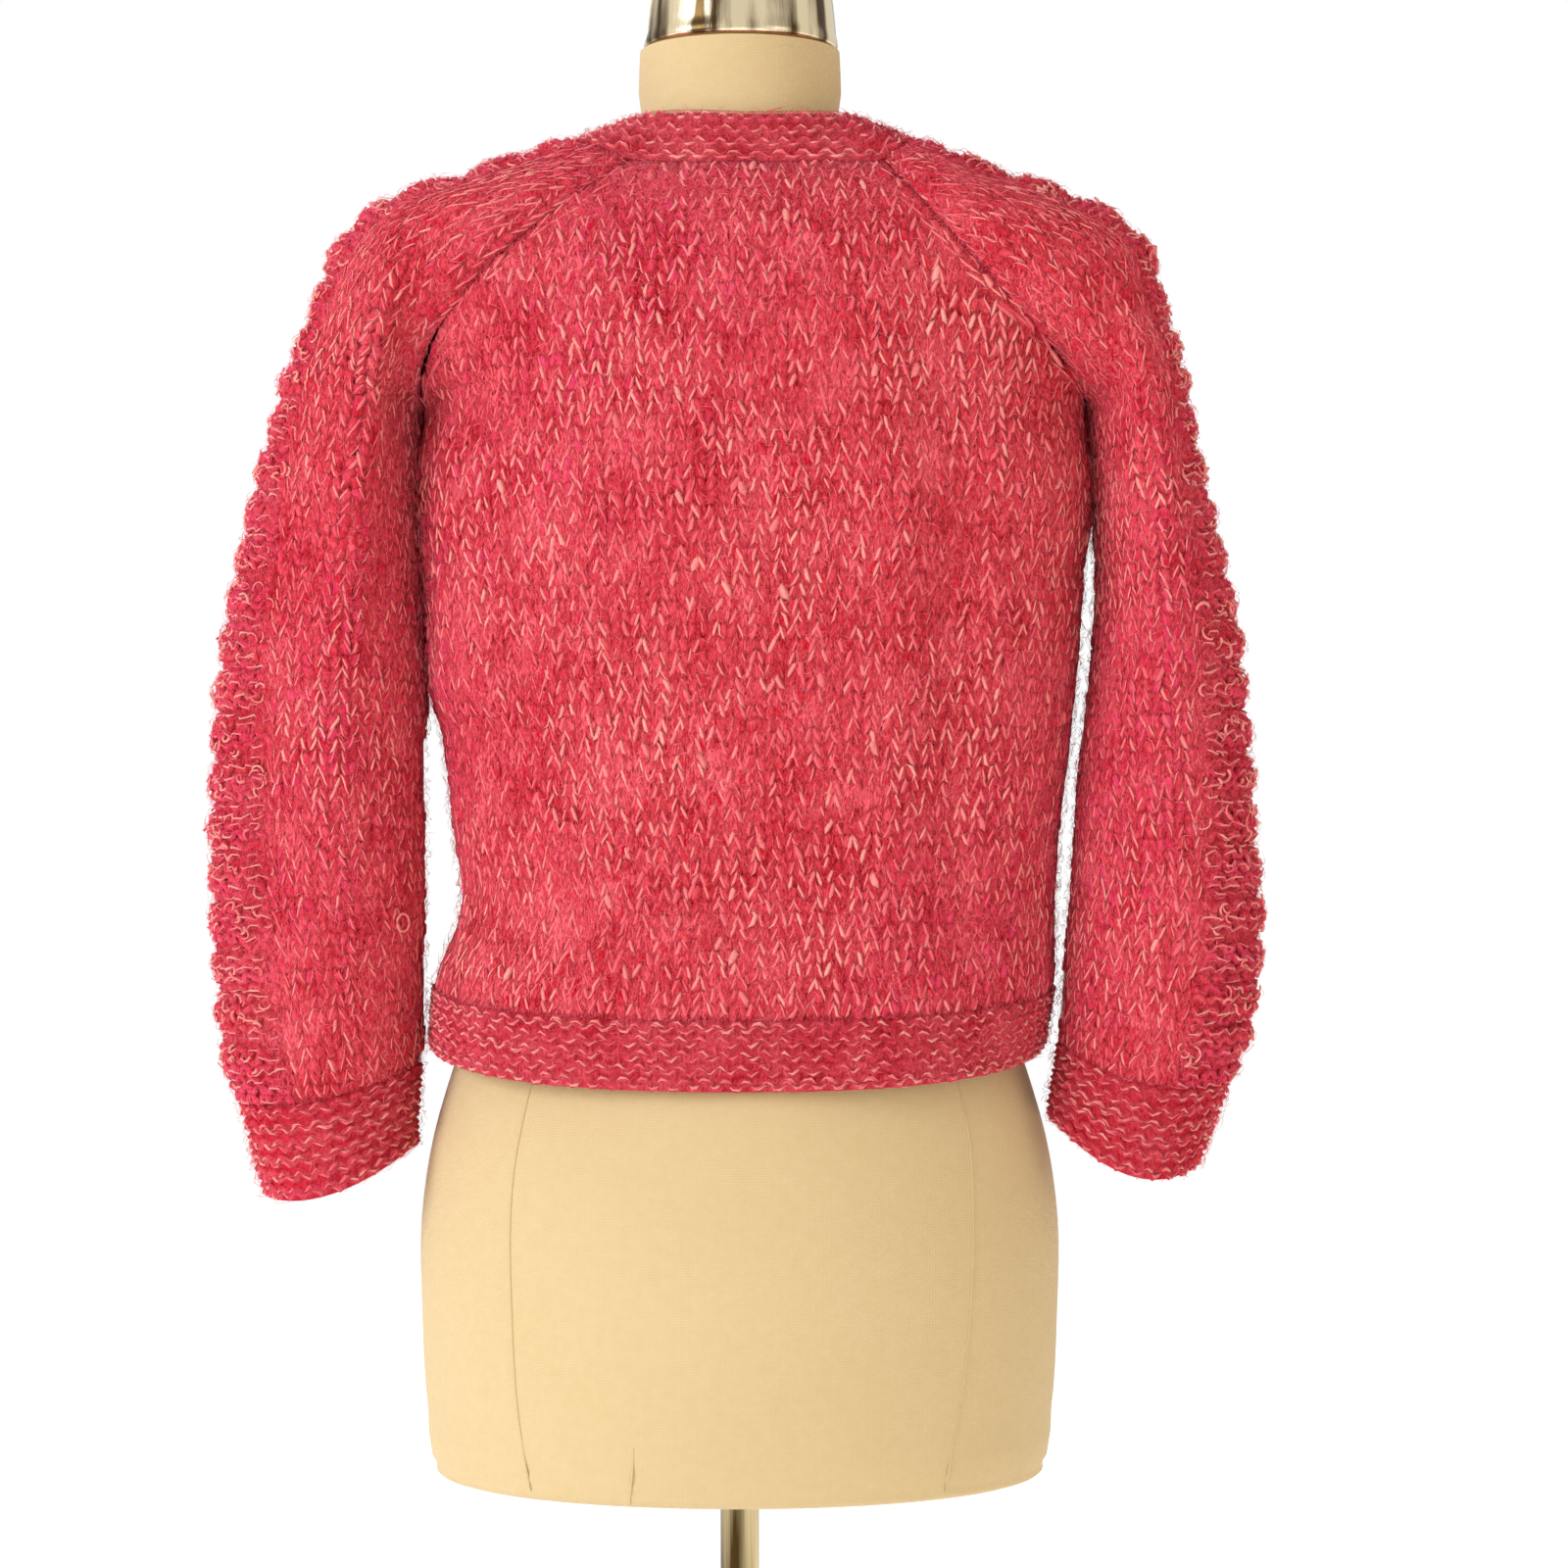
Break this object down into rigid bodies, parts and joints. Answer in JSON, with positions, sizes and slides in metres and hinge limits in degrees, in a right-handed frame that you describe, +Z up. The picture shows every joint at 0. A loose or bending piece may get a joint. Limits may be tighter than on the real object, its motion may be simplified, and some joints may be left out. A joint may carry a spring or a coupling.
{
  "type": "open-knit cardigan on a limbless dress form",
  "caption": "Cropped raglan cardigan in a loose, fuzzy knit, worn by a limbless linen dress form on a steel pole and round foot.",
  "frame": {"origin": "on the floor, at the middle of the foot's underside", "axes": "+Z up, along the pole; -Y is the way the wearer faces, so +Y comes out of the cardigan's back; +X is the wearer's left"},
  "size_m": [0.5883, 0.38, 1.5533],
  "materials": {
    "knit": "loose fuzzy knit of a crimson-pink yarn marled with a salmon strand",
    "linen": "smooth cream linen cover",
    "steel": "brushed"
  },
  "bodies": {
    "root": {"back": "knit", "front_left": "knit", "front_right": "knit", "sleeve_left": "knit", "sleeve_right": "knit", "neckband": "knit", "hem_band": "knit", "cuff_left": "knit", "cuff_right": "knit", "front_band_left": "knit", "front_band_right": "knit", "dress_form": "linen", "neck_cap": "steel", "pole": "steel", "base": "steel"}
  },
  "joints": []
}
